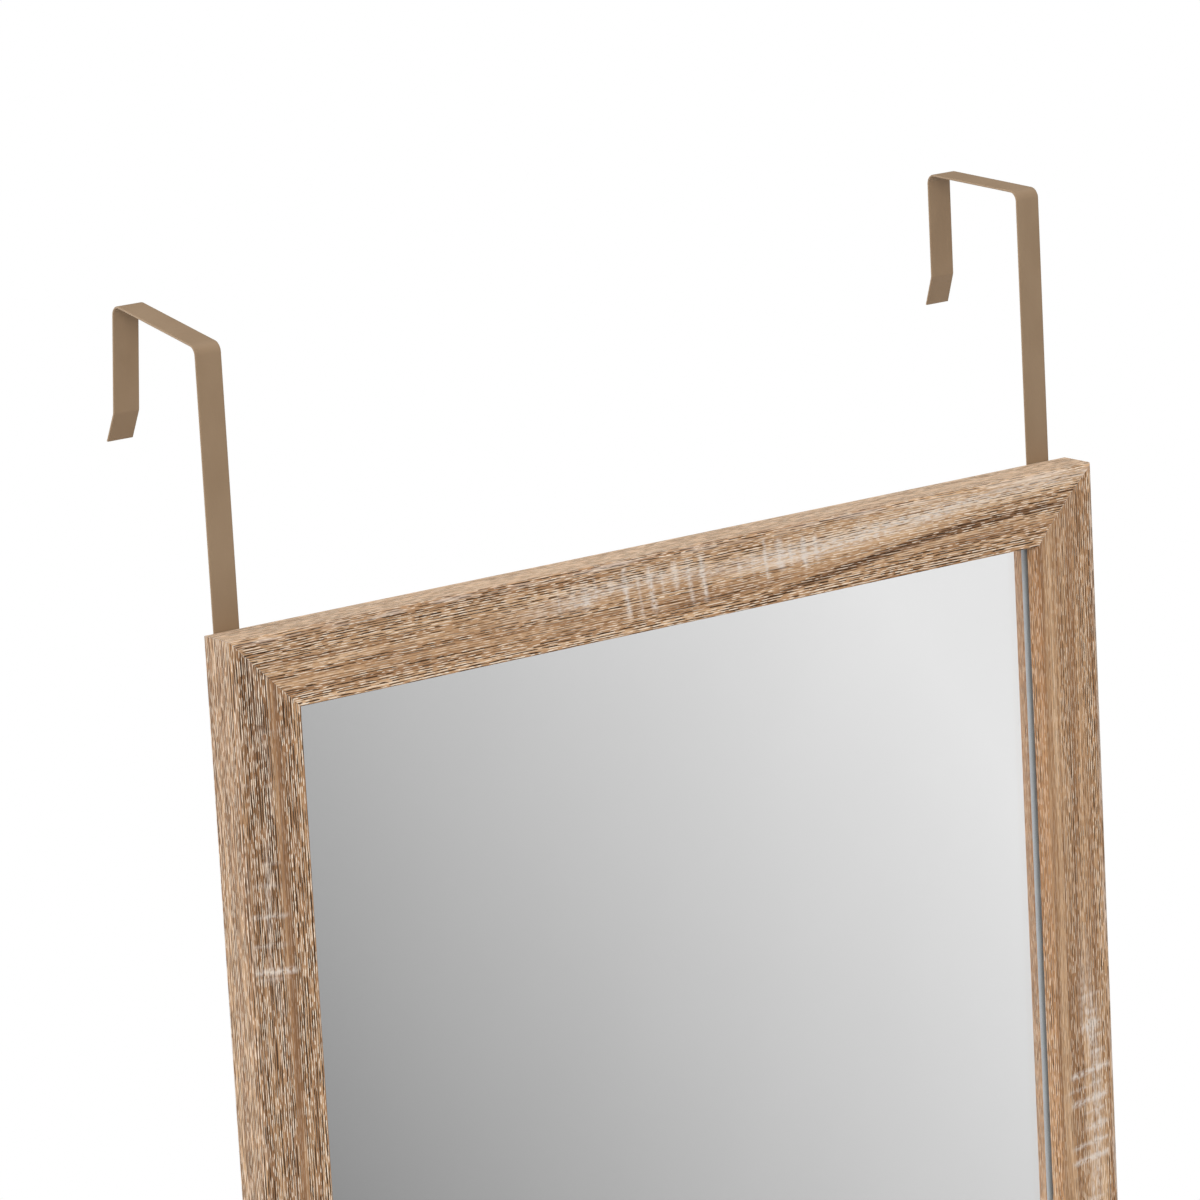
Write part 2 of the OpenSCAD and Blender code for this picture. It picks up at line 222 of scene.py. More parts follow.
def oakFoil():
    made, g = material("oakFoil")
    look = oakPrint
    uv = g.wire("ShaderNodeUVMap", {"uv_map": "grain"})
    run, across, _ = [part * 1000 for part in g.split(uv)]
    place = g.sum("FLOORED_MODULO", run, look["repeat"])

    # noise with the periods that the print's values give
    def mottle(key, crosswise, seed, detail=0.0, roughness=0.5):
        lengthPeriod, crossPeriod = look[key]
        return g.noise(run / lengthPeriod, crosswise / crossPeriod, seed, detail, roughness)

    drift = mottle("driftPeriod", across, 1.0) - 0.5
    calm = run.smooth(*look["calmFrom"])
    streaky = place.smooth(*printStrips["streakyFrom"]) * place.smooth(*printStrips["streakyTo"])
    streaky = streaky * (1 - calm)
    quiver = (mottle("quiverPeriod", across, 2.0) - 0.5) * (1 - streaky * 0.6 - calm * 0.4)
    lean = (place.smooth(*look["leanRise"]) - place.smooth(*look["leanFall"])) * look["lean"]
    lean = lean * (across / look["leanFull"]).clamp()
    straight = across + drift * look["drift"] + quiver * look["quiver"]
    fibre = straight + lean

    bands = mottle("bandPeriod", fibre, 4.0, 1.0, 0.6) - 0.5
    streaks = mottle("streakPeriod", fibre, 5.0, 1.0, 0.6) - 0.5
    hairs = mottle("hairPeriod", fibre, 7.0) - 0.5
    thick = mottle("thickPeriod", fibre, 8.0, 1.0) - 0.5

    # noise that breaks lines of this pitch into dashes
    def dashesOf(pitch, length, seed):
        return g.noise(run / length, straight / pitch / look["dashWidth"], seed) - 0.5

    # lines a pitch apart, which wander but don't lean, and are wider where the print is streaky
    def linesOf(pitch, seed):
        wanderRun, wanderAcross, wander = look["lineWander"]
        sway = g.noise(run / wanderRun, straight / wanderAcross, seed) * wander
        return g.sum("SINE", straight * (math.tau / pitch) + sway) + streaky * 0.15

    # what the tables say of this place
    stops = [(at / look["repeat"], (strength, middle / faceSpan, half / faceSpan, pale))
             for at, strength, middle, half, pale in printWashes]
    table = g.add("ShaderNodeValToRGB", {"stops": stops}, {0: place / look["repeat"]})
    washForce, washMiddle, washHalf = g.split(Wire(g, table.outputs["Color"]))
    offWash = abs(across / faceSpan - washMiddle) / washHalf
    pale = offWash.smooth(2.8, 0.8) * Wire(g, table.outputs["Alpha"])
    strip = {}
    for name in ("plain", "streaky", "calm"):
        stops = [(at / faceSpan, (lively / 2, dark, 0, 1)) for at, lively, dark in printStrips[name]]
        strip[name] = g.wire("ShaderNodeValToRGB", {"stops": stops}, {0: straight / faceSpan})
    strip = g.mix(calm, g.mix(streaky, strip["plain"], strip["streaky"]), strip["calm"])
    lively, darkness, _ = g.split(strip)
    middle, half, heartFrom, heartTo = look["cathedral"]
    fadeIn, fadeOut = look["cathedralFade"]
    heart = abs(fibre - middle - bands * 2).smooth(half * 1.4, half * 0.6)
    heart = heart * place.smooth(heartFrom - fadeIn, heartFrom + fadeIn)
    heart = heart * place.smooth(heartTo + fadeOut, heartTo - fadeOut)

    onSide = across.smooth(*look["sideFrom"])
    onLip = across.smooth(*look["lipFrom"])
    patch = mottle("patchPeriod", fibre, 14.0).smooth(0.36, 0.6) * 0.5 + 1.0
    busy = (lively * 2 * (1 - onSide) + onSide * (streaky * 0.3 + 0.7)) * patch

    # dark pores, which are longer where the print is streaky, and pale flecks
    pitch, length = look["poreLines"]
    dash = dashesOf(pitch, length, 7.0) * (1 - streaky) + dashesOf(pitch, look["longPore"], 21.0) * streaky
    dark = linesOf(pitch, 6.0).smooth(0.0, 0.6) * (dash - thick * 0.15 - heart * 0.03).smooth(0.05, -0.03)
    dark = dark * (busy - pale + heart * 0.5)
    pitch, length = look["fleckLines"]
    dash = dashesOf(pitch, length, 17.0)
    light = linesOf(pitch, 16.0).smooth(0.0, 0.6) * (dash + thick * 0.15).smooth(-0.04, 0.04)
    light = light * (busy + pale * 0.6) * (1 - calm * 0.12)
    force = 1 - onSide * 0.1
    dark, light = dark.clamp() * force, light.clamp() * force

    broad = bands * look["bandForce"] + streaks * look["streakForce"] + hairs * look["hairForce"]
    level = 0.5 + broad - heart * 0.2 + (pale * 0.8 - darkness) * look["darkForce"]
    colour = g.wire("ShaderNodeValToRGB", {"stops": look["ramp"]}, {0: level})
    # painted light: the outer sides are painted paler, as if lit from above and the left, less so where the
    # print is streaky
    colour = g.mix(onSide * (0.5 - streaky * 0.36), colour, look["side"])
    colour = g.mix(onLip * 0.4, colour, look["lip"])
    colour = g.mix(heart * 0.22, colour, look["smoke"])

    # lime lies in the washes and in the saw marks, and along the shoulder the lime tone is a painted
    # highlight
    spread = mottle("spreadPeriod", fibre, 9.0, 2.0).smooth(0.3, 0.54)
    speck = mottle("speckPeriod", across, 12.0, 1.0).smooth(0.36, 0.62)
    lime = offWash.smooth(1.3, 0.2) * spread * (speck * 0.9 + 0.25) * washForce
    upright = place - (across - look["sawMiddle"]) * look["sawTilt"] + quiver
    ragged = mottle("raggedPeriod", across, 10.0, 1.0).smooth(0.26, 0.54)
    for marks in printSawMarks:
        start, stop = marks[0][0] - look["sawMargin"], marks[-1][0] + look["sawMargin"]
        stops = []
        for at, half, top, foot, strength in marks:
            reach = (top / faceSpan, foot / faceSpan, 1)
            for edge, force in ((at - half * 1.3, 0), (at, strength), (at + half * 1.3, 0)):
                stops.append(((edge - start) / (stop - start), (force, *reach)))
        bar = g.wire("ShaderNodeValToRGB", {"stops": stops}, {0: (upright - start) / (stop - start)})
        force, top, foot = g.split(bar)
        within = (across - top * faceSpan).smooth(-1.0, 1.2) * (foot * faceSpan - across).smooth(-1.5, 2.5)
        lime = force * within * ragged + lime
    # a painted highlight along the shoulder's round, in the lime's tone
    shoulderHighlight = abs(across + 0.5).smooth(1.5, 0.3) * mottle("shoulderHighlightPeriod", across, 11.0, 1.0).smooth(0.4, 0.62)
    lime = (lime + shoulderHighlight * (0.5 - streaky * 0.35)).clamp()

    colour = g.mix(lime * 0.9, colour, look["lime"])
    colour = g.mix(light * 0.9, colour, look["fleck"])
    colour = g.mix(dark * (1 - lime * 0.5) * 0.95, colour, look["pore"])

    relief = g.bumpFrom(light * 0.3 - dark, look["poreDepth"])
    g.finish(g.wire("ShaderNodeBsdfPrincipled", {}, {
        "Base Color": colour, "Roughness": look["roughness"] + dark * 0.2, "Normal": relief,
        "Specular IOR Level": look["specular"]}))
    return made


# From here on each finish's values stand above it. Periods are in mm, along x, y and z.
coreLook = dict(
    cells=(0.7, 0.7, 0.7), pull=(3.0, 0.8), foam=tone(232, 235, 238), pit=tone(216, 219, 221),
    # the tones at the foot and at the corner are painted light and painted shade behind the lip
    pulled=tone(202, 203, 203), paintedLightAtFoot=tone(244, 250, 255), paintedShadeAtCorner=tone(150, 153, 154),
    edge=0.1, paintedShadeSpan=(0.2, 2.6), roughness=0.7, cellDepth=0.05,
)


# The moulding's foamed core, bare in the rebate and on the back. Behind the lip it carries painted shade,
# greying from a pale painted tone at the foot to the rebate's corner, whose distances across the outline are
# given in mm.
def paleCore(footAt, cornerAt):
    made, g = material("paleCore")
    look = coreLook
    x, y, z = g.place()
    across = g.split(g.wire("ShaderNodeUVMap", {"uv_map": "grain"}))[1] * 1000
    cells = g.noiseAt((x, y, z), look["cells"], 2.0)
    pullLength, pullWidth = look["pull"]
    pull = g.noise((x + z) / pullLength, y / pullWidth, 2.0, 2.0)
    colour = g.mix(cells.smooth(0.35, 0.7), look["foam"], look["pit"])
    colour = g.mix(pull.smooth(0.5, 0.8) * 0.4, colour, look["pulled"])
    edge = look["edge"]
    # painted shade behind the lip: pale at the foot, grey towards the rebate's corner
    behindLip = across.smooth(footAt - edge, footAt) * across.smooth(cornerAt + edge, cornerAt)
    paintedShadeInward = (across - footAt).smooth(*look["paintedShadeSpan"])
    colour = g.mix(behindLip, colour, g.mix(paintedShadeInward, look["paintedLightAtFoot"], look["paintedShadeAtCorner"]))
    g.finish(g.wire("ShaderNodeBsdfPrincipled", {}, {
        "Base Color": colour, "Roughness": look["roughness"] + cells * 0.2,
        "Normal": g.bumpFrom(cells, look["cellDepth"])}))
    return made


paintLook = dict(
    peel=(0.9, 0.9, 0.9), cloud=(14.0, 14.0, 26.0), rub=(0.35, 0.35, 9.0), taupe=tone(136, 113, 88),
    paler=tone(142, 119, 94), rubbed=tone(152, 129, 104), roughness=0.42, specular=0.3, peelDepth=0.02,
)


def taupePaint():  # satin powder coat on the straps
    made, g = material("taupePaint")
    look, place = paintLook, g.place()
    peel = g.noiseAt(place, look["peel"], 1.0)
    cloud = g.noiseAt(place, look["cloud"], 2.0)
    rub = g.noiseAt(place, look["rub"], 1.0)
    colour = g.mix(cloud.smooth(0.3, 0.7), look["taupe"], look["paler"])
    colour = g.mix(rub.smooth(0.62, 0.8) * 0.25, colour, look["rubbed"])
    g.finish(g.wire("ShaderNodeBsdfPrincipled", {}, {
        "Base Color": colour, "Roughness": look["roughness"] + cloud * 0.1,
        "Specular IOR Level": look["specular"], "Normal": g.bumpFrom(peel, look["peelDepth"])}))
    return made


glassLook = dict(film=(60.0, 60.0, 60.0), filmy=tone(254, 254, 254), clean=tone(255, 255, 255),
                 haze=0.008, bending=1.52, backSkin=0.1)


# Light that has left a matt surface, and shadows, pass the pane straight. So does all light at its
# back, where the silver lies on it.
def clearGlass(paneBack):
    made, g = material("clearGlass")
    look = glassLook
    x, y, z = g.place()
    film = g.noiseAt((x, y, z), look["film"], 3.0, 0.6)
    pane = g.wire("ShaderNodeBsdfPrincipled", {}, {
        "Base Color": g.mix(film.smooth(0.3, 0.7), look["filmy"], look["clean"]), "IOR": look["bending"],
        "Roughness": film.smooth(0.55, 0.9) * look["haze"], "Transmission Weight": 1.0})
    rays = g.add("ShaderNodeLightPath").outputs
    scattered = g.sum("GREATER_THAN", Wire(g, rays["Diffuse Depth"]), 0.5)
    atBack = g.sum("GREATER_THAN", y, paneBack / mm - look["backSkin"])
    straight = g.sum("MAXIMUM", g.sum("MAXIMUM", scattered, Wire(g, rays["Is Shadow Ray"])), atBack)
    nothing = g.wire("ShaderNodeBsdfTransparent")
    g.finish(g.wire("ShaderNodeMixShader", {}, {0: straight, 1: pane, 2: nothing}))
    return made


silverLook = dict(tarnish=(90.0, 1.0, 90.0), silver=tone(248, 248, 248), paler=tone(249, 249, 249),
                  haze=0.008)


def silvering():
    made, g = material("silvering")
    look = silverLook
    tarnish = g.noiseAt(g.place(), look["tarnish"], 3.0, 0.6)
    g.finish(g.wire("ShaderNodeBsdfPrincipled", {}, {
        "Base Color": g.mix(tarnish.smooth(0.3, 0.7), look["silver"], look["paler"]),
        "Metallic": 1.0, "Roughness": tarnish.smooth(0.6, 0.95) * look["haze"]}))
    return made


boardLook = dict(
    fibres=(1.6, 1.0, 1.1), cloud=(38.0, 1.0, 38.0), meshTurns=4.4, brown=tone(139, 104, 72),
    paler=tone(156, 120, 86), paleFibre=tone(178, 146, 110), darkFibre=tone(101, 72, 49),
    roughness=0.75, relief=0.06,
)


def hardboard():  # with the print of the press's wire mesh
    made, g = material("hardboard")
    look = boardLook
    x, y, z = g.place()
    fibres = g.noiseAt((x, y, z), look["fibres"], 4.0, 0.65)
    cloud = g.noiseAt((x, y, z), look["cloud"], 3.0)
    wires = g.sum("SINE", x * look["meshTurns"]) * g.sum("SINE", z * look["meshTurns"])
    colour = g.mix(cloud.smooth(0.35, 0.65), look["brown"], look["paler"])
    colour = g.mix(fibres.smooth(0.5, 0.75) * 0.6, colour, look["paleFibre"])
    colour = g.mix(fibres.smooth(0.45, 0.28) * 0.5, colour, look["darkFibre"])
    g.finish(g.wire("ShaderNodeBsdfPrincipled", {}, {
        "Base Color": colour, "Roughness": look["roughness"] + fibres * 0.15,
        "Normal": g.bumpFrom(fibres * 0.6 + wires * 0.4, look["relief"])}))
    return made


zincLook = dict(scratch=(0.25, 0.25, 2.2), bloom=(2.5, 2.5, 2.5), grey=tone(186, 190, 195),
                bright=tone(212, 214, 215), roughness=0.26, scratchDepth=0.01)


def zincPlate():
    made, g = material("zincPlate")
    look, place = zincLook, g.place()
    scratch = g.noiseAt(place, look["scratch"], 2.0)
    bloom = g.noiseAt(place, look["bloom"], 2.0)
    g.finish(g.wire("ShaderNodeBsdfPrincipled", {}, {
        "Base Color": g.mix(bloom.smooth(0.35, 0.65), look["grey"], look["bright"]), "Metallic": 1.0,
        "Roughness": look["roughness"] + bloom * 0.2, "Normal": g.bumpFrom(scratch, look["scratchDepth"])}))
    return made


rubberLook = dict(skin=(0.4, 0.4, 0.4), bloom=(3.0, 3.0, 3.0), black=tone(44, 44, 45), dusty=tone(60, 60, 60),
                  roughness=0.6, skinDepth=0.03)


def softRubber():
    made, g = material("softRubber")
    look, place = rubberLook, g.place()
    skin = g.noiseAt(place, look["skin"], 2.0)
    bloom = g.noiseAt(place, look["bloom"], 2.0)
    g.finish(g.wire("ShaderNodeBsdfPrincipled", {}, {
        "Base Color": g.mix(bloom.smooth(0.35, 0.7), look["black"], look["dusty"]),
        "Roughness": look["roughness"] + skin * 0.2, "Normal": g.bumpFrom(skin, look["skinDepth"])}))
    return made


oak, paint, zinc, rubber = oakFoil(), taupePaint(), zincPlate(), softRubber()
say("finishes made")


# --- mesh helpers ---

# an object for a mesh, a lamp or the camera, put in the scene
def addObject(name, data):
    made = bpy.data.objects.new(name, data)
    bpy.context.scene.collection.objects.link(made)
    return made


# a piece from arrays of vertices and faces
def solidFrom(name, vertices, faces, materials, faceMaterial=None, faceUV=None):
    mesh = bpy.data.meshes.new(name)
    mesh.from_pydata(vertices.tolist(), [], faces)
    for each in materials:
        mesh.materials.append(each)
    if faceMaterial is not None:
        mesh.polygons.foreach_set("material_index", np.array(faceMaterial, np.int32))
    if faceUV is not None:
        grain = mesh.uv_layers.new(name="grain")
        grain.data.foreach_set("uv", np.concatenate(faceUV).astype(np.float32).ravel())
    piece = addObject(name, mesh)
    faceOut(mesh)
    return piece


# turns the normals outwards, and shades smooth all but the edges that turn by more than the sharp angle
def faceOut(mesh, sharpAngle=30):
    b = bmesh.new()
    b.from_mesh(mesh)
    bmesh.ops.recalc_face_normals(b, faces=b.faces)
    for face in b.faces:
        face.smooth = True
    for edge in b.edges:
        edge.smooth = len(edge.link_faces) == 2 and edge.calc_face_angle(0) < math.radians(sharpAngle)
    b.to_mesh(mesh)
    b.free()


# arc points from one angle to another, in degrees
def arc(centre, radius, start, stop, steps):
    turn = np.radians(np.linspace(start, stop, steps + 1))
    return np.array(centre) + radius * np.stack([np.cos(turn), np.sin(turn)], 1)


# a closed outline carried through stations: rings is (stations, points, 3), and both ends are closed flat
def loft(rings):
    stations, points, _ = rings.shape
    j, i = np.meshgrid(np.arange(stations - 1), np.arange(points), indexing="ij")
    after = (i + 1) % points
    quads = np.stack([j * points + i, (j + 1) * points + i, (j + 1) * points + after, j * points + after], -1)
    faces = quads.reshape(-1, 4).tolist()
    faces.append(list(range(points)))
    faces.append(list(range((stations - 1) * points, stations * points)))
    return rings.reshape(-1, 3), faces


# takes the cutters' shapes out of a piece, and leaves the result as its mesh
def carve(piece, cutters):
    for cutter in cutters:
        modifier = piece.modifiers.new("cut", "BOOLEAN")
        modifier.operation, modifier.solver, modifier.object = "DIFFERENCE", "EXACT", cutter
    graph = bpy.context.evaluated_depsgraph_get()
    carved = bpy.data.meshes.new_from_object(piece.evaluated_get(graph))
    piece.modifiers.clear()
    piece.data = carved
    for cutter in cutters:
        bpy.data.objects.remove(cutter)
    faceOut(carved)
    even = piece.modifiers.new("evenNormals", "WEIGHTED_NORMAL")
    even.keep_sharp = True


slotFit = dict(grow=0.05, backLayer=0.1, backReach=1.0)


# a grown copy of a fastener's node, which cuts its slot; a nail's reaches out through the rail's back
def fastenerCutter(node, materials, throughBack):
    mesh = nodes[node].data.copy()
    mesh.materials.clear()
    for each in materials:
        mesh.materials.append(each)
    b = bmesh.new()
    b.from_mesh(mesh)
    bmesh.ops.remove_doubles(b, verts=b.verts, dist=1e-6)
    bmesh.ops.recalc_face_normals(b, faces=b.faces)
    b.normal_update()
    backMost = max(vertex.co.y for vertex in b.verts)
    for vertex, normal in [(vertex, vertex.normal.copy()) for vertex in b.verts]:
        atBack = vertex.co.y > backMost - slotFit["backLayer"] * mm
        vertex.co += normal * slotFit["grow"] * mm
        if throughBack and atBack:
            vertex.co.y += slotFit["backReach"] * mm
    for face in b.faces:
        face.material_index = len(materials) - 1
    b.to_mesh(mesh)
    b.free()
    return addObject(node + "Cutter", mesh)


def settle(piece, slot, body, *replaced):
    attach(piece, body)
    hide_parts(*replaced)


# --- frame rails ---

moulding = dict(
    faceWidth=25.0, shoulderDepth=14.5, lipDepth=14.6, shoulderRadius=1.6, lipRadius=0.6, faceDish=0.7,
    lipSlant=0.7, landWidth=19.0, rebateDepth=9.5, backRadius=0.4, foilWrap=4.0, mitreGap=0.03,
    shoulderSteps=10, faceSteps=24, lipSteps=6, backSteps=4, stationPitch=25.0,
)


# The outline as (from the outer edge, forward of the back) in mm: up the outer side, round the shoulder,
# over the dished face, round the lip to the foot where the foil ends, and back along the rebate and the
# land. Gives also each point's distance along the outline from the shoulder, and the foil's last point.
def mouldingOutline(m):
    shoulderRound, lipRound, backRound = m["shoulderRadius"], m["lipRadius"], m["backRadius"]
    shoulderCentre = (shoulderRound, m["shoulderDepth"] - shoulderRound)
    shoulder = arc(shoulderCentre, shoulderRound, 180, 90, m["shoulderSteps"])
    lipStart = np.array([m["faceWidth"] - lipRound, m["lipDepth"]])
    chord = lipStart - shoulder[-1]
    share = np.linspace(0, 1, m["faceSteps"] + 1)[1:-1, None]
    dip = np.array([0, -4 * m["faceDish"]]) * share * (1 - share)  # a parabola stands for the shallow arc
    face = shoulder[-1] + chord * share + dip
    lip = arc(lipStart - (0, lipRound), lipRound, 90, 0, m["lipSteps"])
    foot = np.array([[m["faceWidth"] + m["lipSlant"], m["rebateDepth"]]])
    back = arc((backRound, backRound), backRound, 270, 180, m["backSteps"])
    foil = np.concatenate([[[m["foilWrap"], 0.0]], back, shoulder, face, lip, foot])
    bare = np.array([[m["landWidth"], m["rebateDepth"]], [m["landWidth"], 0.0]])
    outline = np.concatenate([foil, bare])
    steps = np.linalg.norm(np.diff(np.vstack([outline, outline[:1]]), axis=0), axis=1)
    developed = np.concatenate([[0], np.cumsum(steps)])
    atShoulder = len(back) + len(shoulder)  # where the face begins
    return outline, developed - developed[atShoulder], len(foil) - 1


outline, developed, foilSteps = mouldingOutline(moulding)
core = paleCore(float(developed[foilSteps]), float(developed[foilSteps + 1]))
frameLow = Vector(map(min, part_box("left_rail")[0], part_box("bottom_rail")[0]))
frameHigh = Vector(map(max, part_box("right_rail")[1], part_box("top_rail")[1]))
backY = frameHigh.y

# where a rail's point lies, by its place along the rail, from the outer edge and forward of the back
railPlaces = dict(
    top=lambda a, s, d: (a, backY - d, frameHigh.z - s),
    bottom=lambda a, s, d: (a, backY - d, frameLow.z + s),
    left=lambda a, s, d: (frameLow.x + s, backY - d, frameHigh.z - a),
    right=lambda a, s, d: (frameHigh.x - s, backY - d, frameHigh.z - a),
)
# the nodes whose slots are cut out of each rail
railCutters = dict(
    top=["nails_top_left", "nails_top_right", "points_top"],
    bottom=["nails_bottom_left", "nails_bottom_right", "points_bottom"],
    left=["nails_top_left", "nails_bottom_left", "points_left", "left_hanger_screws"],
    right=["nails_top_right", "nails_bottom_right", "points_right", "right_hanger_screws"],
)


# Every station is the whole outline, set along the rail; the mitre draws each outline point in by its
# distance from the outer edge.
def makeRail(side):
    upright = side in ("left", "right")
    length = frameHigh.z - frameLow.z if upright else frameHigh.x - frameLow.x
    start = 0 if upright else -length / 2
    fromEdge, depth = outline[:, 0] * mm, outline[:, 1] * mm
    draw = fromEdge + moulding["mitreGap"] * mm
    stationCount = int(length / moulding["stationPitch"] / mm) + 2
    share = np.linspace(0, 1, stationCount)[:, None]
    along = start + draw + share * (length - 2 * draw)
    rings = np.stack(np.broadcast_arrays(*railPlaces[side](along, fromEdge, depth)), -1)
    vertices, faces = loft(rings)

    # each side face's corners, in the order of loft's, as (along the print, across it)
    stations, points = along.shape
    j, i = np.meshgrid(np.arange(stations - 1), np.arange(points), indexing="ij")
    j, i, after = j.ravel(), i.ravel(), (i.ravel() + 1) % points
    run = along - start + oakPrint["railStarts"][side] * mm
    across = developed * mm
    runUV = np.stack([run[j, i], run[j + 1, i], run[j + 1, after], run[j, after]], 1)
    acrossUV = np.stack([across[i], across[i], across[i + 1], across[i + 1]], 1)
    faceUV = [np.stack([runUV, acrossUV], -1).reshape(-1, 2), np.zeros((2 * points, 2))]
    faceMaterial = np.concatenate([i >= foilSteps, [1, 1]]).astype(int)
    piece = solidFrom(side + "Rail", vertices, faces, [oak, core], faceMaterial, faceUV)
    carve(piece, [fastenerCutter(node, [oak, core], node.startswith("nails")) for node in railCutters[side]])
    settle(piece, "oak_foil", "frame", side + "_rail")


for side in railPlaces:
    makeRail(side)
    say(side + " rail lofted")


# --- mirror ---

paneShape = dict(arris=0.35, frontGap=0.03, backGap=0.02)


# a slab between two corners with its edges eased
def easedSlab(name, low, high, ease, finish):
    b = bmesh.new()
    bmesh.ops.create_cube(b, size=1)
    for vertex in b.verts:
        vertex.co = Vector([high[k] if vertex.co[k] > 0 else low[k] for k in range(3)])
    bmesh.ops.bevel(b, geom=b.edges[:], offset=ease, segments=2, affect="EDGES", profile=0.5)
    bmesh.ops.recalc_face_normals(b, faces=b.faces)
    mesh = bpy.data.meshes.new(name)
    b.to_mesh(mesh)
    b.free()
    mesh.materials.append(finish)
    return addObject(name, mesh)


low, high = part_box("mirror_glass")
low.y += paneShape["frontGap"] * mm
high.y -= paneShape["backGap"] * mm
pane = easedSlab("glassPane", low, high, paneShape["arris"] * mm, clearGlass(high.y))
settle(pane, "clear_glass", "frame", "mirror_glass")
say("glass set")


# --- hangers ---

strapStyle = dict(
    width=9.6, thickness=0.7, edgeRadius=0.3, bendRadius=2.8, gap=46.3, drop=35.3, lip=10.7,
    bendSteps=12, runPitch=12.0, slotWidth=3.6, slotTravel=10.0, slotSteps=16, slotOvercut=1.0,
)
# how far each hanger is set above its middle height in mm, and its bends in degrees
hangerBends = dict(
    left=dict(set=-1.5, rise=10.3, lean=6.5, flare=21.0),
    right=dict(set=1.5, rise=2.1, lean=0.4, flare=19.0),
)


# unit steps in (y, z): along a heading, and square to it towards the door
def ahead(heading):
    return np.array([math.cos(heading), math.sin(heading)])


def doorwards(heading):
    return np.array([math.sin(heading), -math.cos(heading)])


# The strap's middle line, walked from its lower end: straight runs between turns, each turn an arc.
# Gives the points and the heading at each.
def strapLine(start, runs, turns, radius, bendSteps, runPitch):
    points, headings = [], []
    point, heading = np.array(start), math.pi / 2
    for number, run in enumerate(runs):
        for share in np.linspace(0, 1, max(2, int(run / runPitch) + 1)):
            points.append(point + share * run * ahead(heading))
            headings.append(heading)
        point = points[-1]
        if number < len(turns):
            turn = turns[number]
            arm = math.copysign(radius, turn)
            centre = point + arm * doorwards(heading)
            for share in np.arange(1, bendSteps) / bendSteps:
                points.append(centre - arm * doorwards(heading - turn * share))
                headings.append(heading - turn * share)
            point = centre - arm * doorwards(heading - turn)
            heading -= turn
    return np.array(points), np.array(headings)


# a rounded rectangle about the origin
def roundedRectangle(width, height, radius, steps=5):
    corners = [(1, 1, 0), (-1, 1, 90), (-1, -1, 180), (1, -1, 270)]
    return np.concatenate([
        arc((sx * (width / 2 - radius), sy * (height / 2 - radius)), radius, turn, turn + 90, steps)
        for sx, sy, turn in corners])


# a prism with round ends that cuts a slot through a strap
def slotCutter(x, z, style, finish):
    half, travel, steps = style["slotWidth"] / 2, style["slotTravel"], style["slotSteps"]
    rim = np.concatenate([arc((0, travel), half, 0, 180, steps), arc((0, -travel), half, 180, 360, steps)])
    depths = np.array([-style["thickness"] - style["slotOvercut"], style["slotOvercut"]])[:, None]
    rings = np.broadcast_arrays(x + rim[:, 0] * mm, depths * mm, z + rim[:, 1] * mm)
    return solidFrom("slotCutter", *loft(np.stack(rings, -1)), [finish])


# The gap, drop and lip are measured on the strap's side towards the door, to where the straight runs
# would meet, so each bend takes its share off the runs beside it. The slots stand about the screws, off
# by the hanger's set.
def makeHanger(side):
    style, bends = strapStyle, hangerBends[side]
    low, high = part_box(side + "_hanger")
    centreX = (low.x + high.x) / 2
    rise, lean, flare = (math.radians(bends[key]) for key in ("rise", "lean", "flare"))
    frontBend, backBend = math.pi / 2 - rise, math.pi / 2 + rise - lean
    radius, thick = style["bendRadius"], style["thickness"]
    frontCut, backCut = radius * math.tan(frontBend / 2), radius * math.tan(backBend / 2)
    lipCut = (radius + thick) * math.tan(flare / 2)
    stem = bends["set"] - low.z / mm - frontCut
    runs = [stem, style["gap"] - frontCut - backCut, style["drop"] - backCut - lipCut, style["lip"] - lipCut]
    line, headings = strapLine((-thick / 2, low.z / mm), runs, [frontBend, backBend, -flare],
                               radius + thick / 2, style["bendSteps"], style["runPitch"])
    rim = roundedRectangle(style["width"], thick, style["edgeRadius"])
    square = np.array([doorwards(heading) for heading in headings])
    inPlane = line[:, None, :] + rim[None, :, 1:2] * square[:, None, :]
    acrossX = np.broadcast_to(centreX / mm + rim[:, 0], inPlane.shape[:2])
    vertices, faces = loft(np.dstack([acrossX, inPlane[..., 0], inPlane[..., 1]]) * mm)
    piece = solidFrom(side + "Hanger", vertices, faces, [paint])
    screwsLow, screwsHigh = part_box(side + "_hanger_screws")
    headRadius = (screwsHigh.x - screwsLow.x) / 2
    heights = [screwsLow.z + headRadius + bends["set"] * mm, screwsHigh.z - headRadius + bends["set"] * mm]
    carve(piece, [slotCutter(centreX, z, style, paint) for z in heights])
    settle(piece, "taupe_paint", side + "_hook", side + "_hanger")


for side in hangerBends:
    makeHanger(side)
say("hangers bent")


# --- bumpers ---

bumperShape = dict(radius=5.0, faceRadius=4.4, height=2.8, rim=0.5, wallSlant=12, flatInset=0.8, dimple=0.15,
                   hub=0.05, rimSteps=6, faceRings=8, sides=48)


